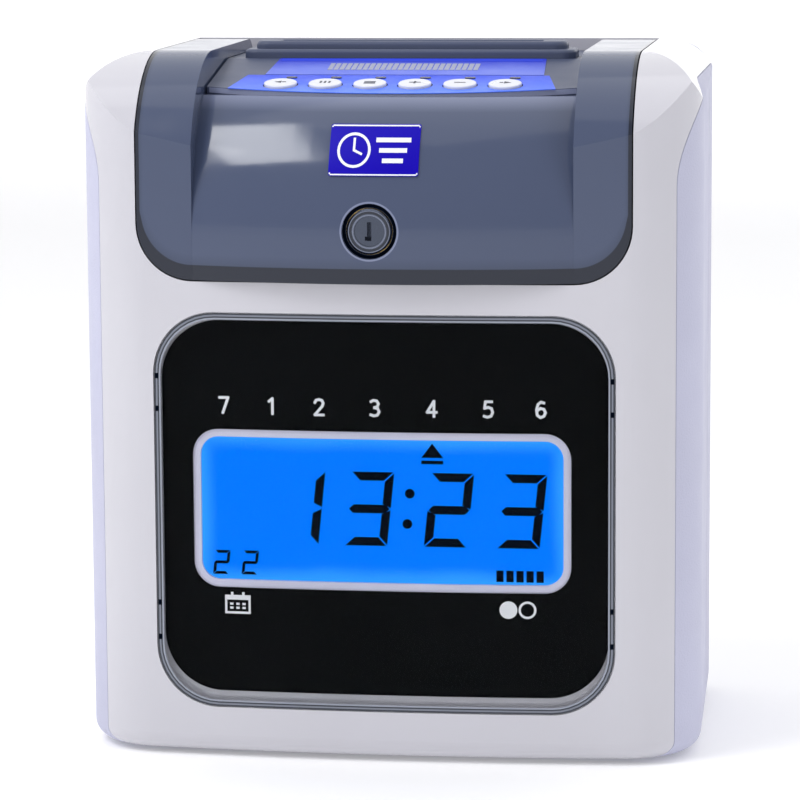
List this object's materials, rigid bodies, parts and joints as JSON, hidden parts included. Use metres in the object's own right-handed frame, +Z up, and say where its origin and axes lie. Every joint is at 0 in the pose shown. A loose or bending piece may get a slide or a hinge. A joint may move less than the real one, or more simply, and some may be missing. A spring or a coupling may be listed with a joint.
{
  "type": "punch time clock",
  "caption": "Punch time clock: glossy white case with a dark display window, a locking hinged grey hood, a sloping key deck, a top card slot, and a card feed and printer inside.",
  "frame": {"origin": "on the table, under the centre of the machine's box (feet undersides at z = 0)", "axes": "+Z up, the window and lock face -Y, +X to the right of somebody facing the window"},
  "size_m": [0.2172, 0.144, 0.247],
  "materials": {
    "shell_white": "glossy white moulding",
    "shell_grey_white": "fine textured bluish white moulding",
    "hood_grey": "glossy blue-grey moulding",
    "clear_lens": "clear moulding, dark behind",
    "black_print": "black printed film",
    "lavender_trim": "satin pale lavender",
    "blue_display": "lit blue display",
    "white_diffuser": "light guide",
    "green_board": "circuit board",
    "black_parts": "black moulded",
    "badge_blue": "printed plate",
    "lock_chrome": "polished",
    "lock_brass": "plain",
    "zinc_steel": "zinc plated sheet",
    "bright_steel": "ground",
    "motor_steel": "plated can",
    "head_aluminium": "cast",
    "gear_white": "acetal",
    "gear_brass": "cut",
    "rubber": "soft",
    "roller_rubber": "ground",
    "belt_rubber": "ribbed",
    "label_blue": "printed film",
    "led_red": "dark windows",
    "key_white": "white",
    "cartridge_black": "moulded",
    "ribbon_fabric": "inked",
    "battery_green": "wrapped cells"
  },
  "bodies": {
    "case": {"front_cover": "shell_white", "rear_case": "shell_grey_white", "case_screws": "zinc_steel", "rubber_feet": "rubber", "window_lens": "clear_lens", "window_mask": "black_print", "lcd_bezel": "lavender_trim", "lcd_glass": "blue_display", "backlight_panel": "white_diffuser", "main_board": "green_board", "board_parts": "black_parts", "buzzer": "black_parts", "hinge_pins": "bright_steel", "lock_keeper": "zinc_steel", "control_deck": "hood_grey", "front_label": "label_blue", "rear_label": "label_blue", "indicator_leds": "led_red", "key_board": "green_board", "tact_switches": "black_parts", "slot_rim": "hood_grey", "chute_front_guide": "zinc_steel", "chute_rear_guide": "zinc_steel", "card_sensor": "black_parts", "mechanism_frame": "zinc_steel", "frame_screws": "zinc_steel", "feed_motor": "motor_steel", "guide_shaft": "bright_steel", "carriage_rail": "bright_steel", "carriage_motor": "motor_steel", "platen": "black_parts", "power_board": "green_board", "backup_battery": "battery_green", "power_inlet": "black_parts", "carriage_belt": "belt_rubber"},
    "hood": {"hood": "hood_grey", "badge_plate": "badge_blue", "lock_barrel": "lock_chrome", "lock_nut": "lock_brass"},
    "lock": {"lock_plug": "lock_chrome", "lock_cam": "zinc_steel"},
    "key_1": {"key_1": "key_white"},
    "key_2": {"key_2": "key_white"},
    "key_3": {"key_3": "key_white"},
    "key_4": {"key_4": "key_white"},
    "key_5": {"key_5": "key_white"},
    "key_6": {"key_6": "key_white"},
    "carriage": {"print_carriage": "black_parts", "print_head": "head_aluminium"},
    "drive_pulley": {"drive_pulley": "gear_white"},
    "idler_pulley": {"idler_pulley": "gear_white"},
    "feed": {"feed_shaft": "bright_steel", "feed_rollers": "roller_rubber", "feed_gear": "gear_white"},
    "pinch": {"pinch_shaft": "bright_steel", "pinch_rollers": "roller_rubber"},
    "pinion": {"motor_pinion": "gear_brass"},
    "ribbon_unit": {"ribbon_cartridge": "cartridge_black", "ribbon": "ribbon_fabric"},
    "ribbon_knob": {"ribbon_knob": "gear_white"}
  },
  "joints": [
    {"name": "hood_hinge", "type": "hinge", "parent": "case", "child": "hood", "pos_m": [0, 0.052, 0.2365], "axis": [-1, 0, 0], "range_deg": [0, 70]},
    {"name": "lock_turn", "type": "hinge", "parent": "hood", "child": "lock", "pos_m": [-0.003, -0.06, 0.1868], "axis": [0, 1, 0], "range_deg": [0, 90]},
    {"name": "key_1_press", "type": "slide", "parent": "case", "child": "key_1", "axis": [0, 0.1764, -0.9843], "range_m": [0, 0.0008], "stiffness_N_per_m": 400, "springref_m": -0.0005},
    {"name": "key_2_press", "type": "slide", "parent": "case", "child": "key_2", "axis": [0, 0.1764, -0.9843], "range_m": [0, 0.0008], "stiffness_N_per_m": 400, "springref_m": -0.0005},
    {"name": "key_3_press", "type": "slide", "parent": "case", "child": "key_3", "axis": [0, 0.1764, -0.9843], "range_m": [0, 0.0008], "stiffness_N_per_m": 400, "springref_m": -0.0005},
    {"name": "key_4_press", "type": "slide", "parent": "case", "child": "key_4", "axis": [0, 0.1764, -0.9843], "range_m": [0, 0.0008], "stiffness_N_per_m": 400, "springref_m": -0.0005},
    {"name": "key_5_press", "type": "slide", "parent": "case", "child": "key_5", "axis": [0, 0.1764, -0.9843], "range_m": [0, 0.0008], "stiffness_N_per_m": 400, "springref_m": -0.0005},
    {"name": "key_6_press", "type": "slide", "parent": "case", "child": "key_6", "axis": [0, 0.1764, -0.9843], "range_m": [0, 0.0008], "stiffness_N_per_m": 400, "springref_m": -0.0005},
    {"name": "carriage_slide", "type": "slide", "parent": "case", "child": "carriage", "axis": [1, 0, 0], "range_m": [-0.03, 0.03]},
    {"name": "drive_pulley_spin", "type": "hinge", "parent": "case", "child": "drive_pulley", "pos_m": [0.042, -0.006, 0.17], "axis": [0, 0, 1], "range_deg": [-300, 300]},
    {"name": "idler_pulley_spin", "type": "hinge", "parent": "case", "child": "idler_pulley", "pos_m": [-0.042, -0.006, 0.17], "axis": [0, 0, 1], "range_deg": [-300, 300]},
    {"name": "feed_spin", "type": "hinge", "parent": "case", "child": "feed", "pos_m": [0, 0.0274, 0.12], "axis": [1, 0, 0], "continuous": true},
    {"name": "pinch_spin", "type": "hinge", "parent": "case", "child": "pinch", "pos_m": [0, 0.0108, 0.12], "axis": [1, 0, 0], "continuous": true},
    {"name": "pinion_spin", "type": "hinge", "parent": "case", "child": "pinion", "pos_m": [0.0555, 0.0324, 0.0996], "axis": [1, 0, 0], "continuous": true},
    {"name": "ribbon_shift", "type": "slide", "parent": "case", "child": "ribbon_unit", "axis": [0, 0, 1], "range_m": [0, 0.006]},
    {"name": "ribbon_knob_spin", "type": "hinge", "parent": "ribbon_unit", "child": "ribbon_knob", "pos_m": [-0.034, -0.02, 0.2125], "axis": [0, 1, 0], "continuous": true}
  ],
  "couplings": [
    {"joint": "drive_pulley_spin", "follows": "carriage_slide", "rad_per_m": 161.29},
    {"joint": "idler_pulley_spin", "follows": "carriage_slide", "rad_per_m": 161.29},
    {"joint": "pinch_spin", "follows": "feed_spin", "ratio": -1.6667},
    {"joint": "pinion_spin", "follows": "feed_spin", "ratio": -2.5}
  ]
}
